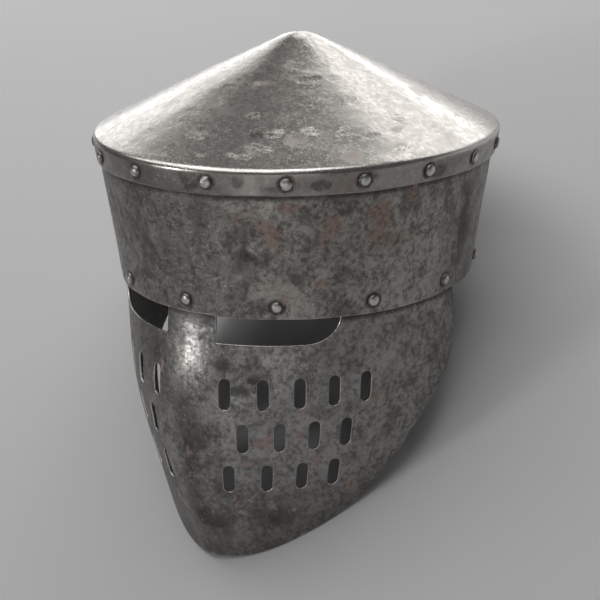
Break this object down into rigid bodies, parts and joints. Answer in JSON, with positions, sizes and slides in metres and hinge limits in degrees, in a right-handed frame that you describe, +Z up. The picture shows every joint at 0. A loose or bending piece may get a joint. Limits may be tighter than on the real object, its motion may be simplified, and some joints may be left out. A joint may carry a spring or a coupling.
{
  "type": "conical great helm",
  "caption": "Steel helm with a low conical crown, a flared brow band and a pierced face plate, open at the back of the neck, resting on its mouth.",
  "frame": {"origin": "centre of the footprint, on the ground that the helm rests on", "axes": "+Z up, +X to the wearer's left; the face looks along -Y and upwards, because the helm leans back on its chin and the back of its band"},
  "size_m": [0.2466, 0.3432, 0.228],
  "materials": {
    "crown_steel": "aged, mottled, hammered",
    "band_steel": "aged, mottled, stained brown",
    "face_steel": "aged, mottled, pitted",
    "rivet_steel": "worn brighter"
  },
  "bodies": {
    "root": {"crown": "crown_steel", "brow_band": "band_steel", "face_plate": "face_steel", "crown_rivet_01": "rivet_steel", "crown_rivet_02": "rivet_steel", "crown_rivet_03": "rivet_steel", "crown_rivet_04": "rivet_steel", "crown_rivet_05": "rivet_steel", "crown_rivet_06": "rivet_steel", "crown_rivet_07": "rivet_steel", "crown_rivet_08": "rivet_steel", "crown_rivet_09": "rivet_steel", "crown_rivet_10": "rivet_steel", "crown_rivet_11": "rivet_steel", "crown_rivet_12": "rivet_steel", "crown_rivet_13": "rivet_steel", "crown_rivet_14": "rivet_steel", "crown_rivet_15": "rivet_steel", "crown_rivet_16": "rivet_steel", "crown_rivet_17": "rivet_steel", "crown_rivet_18": "rivet_steel", "band_rivet_01": "rivet_steel", "band_rivet_02": "rivet_steel", "band_rivet_03": "rivet_steel", "band_rivet_04": "rivet_steel", "band_rivet_05": "rivet_steel", "band_rivet_06": "rivet_steel", "band_rivet_07": "rivet_steel", "band_rivet_08": "rivet_steel", "band_rivet_09": "rivet_steel", "band_rivet_10": "rivet_steel", "band_rivet_11": "rivet_steel", "band_rivet_12": "rivet_steel"}
  },
  "joints": []
}
